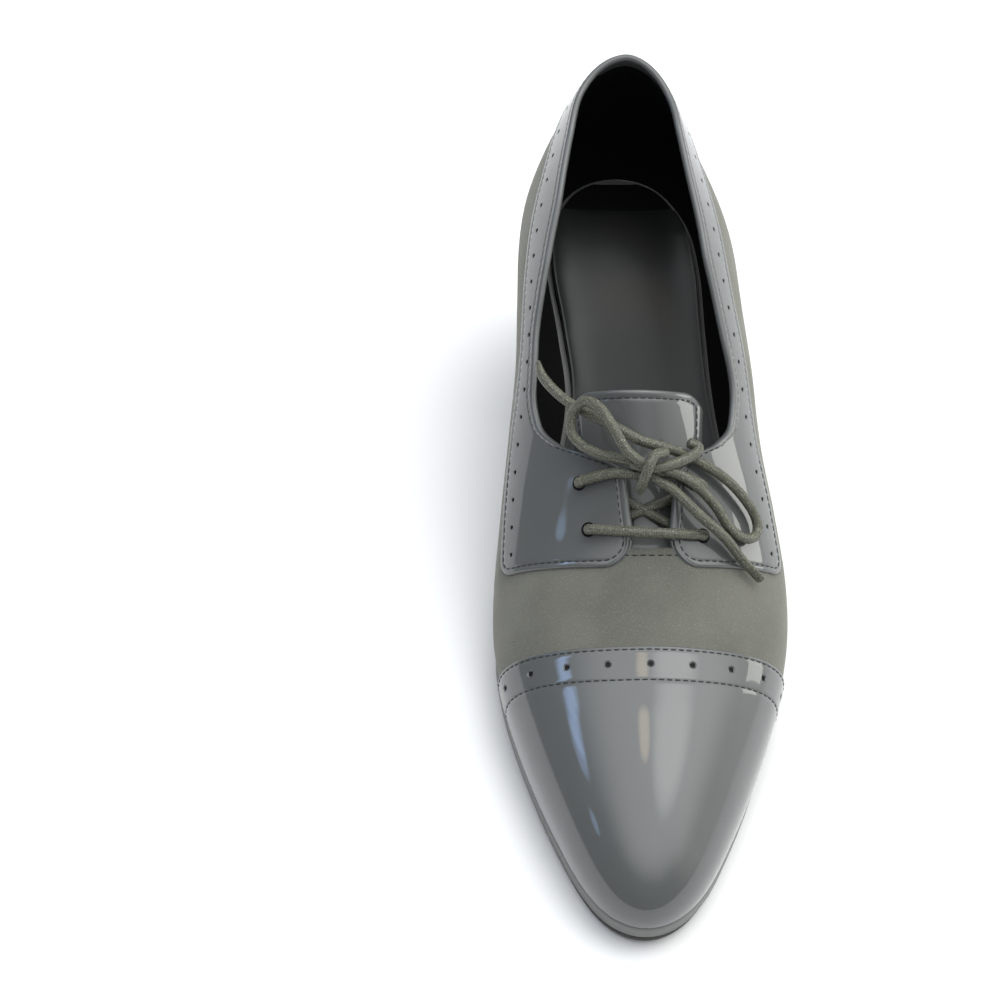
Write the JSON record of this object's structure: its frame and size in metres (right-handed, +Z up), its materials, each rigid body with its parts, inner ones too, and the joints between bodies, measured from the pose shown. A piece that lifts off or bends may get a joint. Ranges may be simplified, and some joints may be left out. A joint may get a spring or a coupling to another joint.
{
  "type": "womens heeled oxford shoe",
  "caption": "Women's lace-up oxford shoe for the left foot with a pointed cap toe, punched bands, a tied bow and a covered block heel",
  "frame": {"origin": "Centre of the shoe's box in plan, on the plane that it stands on", "axes": "+Z up, toe towards -Y, heel towards +Y, +X on the outer side of the left foot"},
  "size_m": [0.0888, 0.2546, 0.1171],
  "materials": {
    "patent": null,
    "sock": "smooth black, half gloss",
    "sole_edge": "grey painted sole edge",
    "tread": "dark matt rubber",
    "heel_cover": "grey gloss cover on a block heel",
    "lace": "round waxed cord, grey green"
  },
  "bodies": {
    "root": {"upper": "patent", "tongue": "patent", "insole": "sock", "midsole": "sole_edge", "outsole": "tread", "heel": "heel_cover", "heel_top_piece": "tread", "lace_bars": "lace", "lace_strand_medial": "lace", "lace_strand_lateral": "lace", "lace_loop_medial": "lace", "lace_loop_lateral": "lace", "lace_end_medial": "lace", "lace_end_lateral": "lace", "lace_knot_band": "lace", "lace_knot_wrap": "lace"}
  },
  "joints": []
}
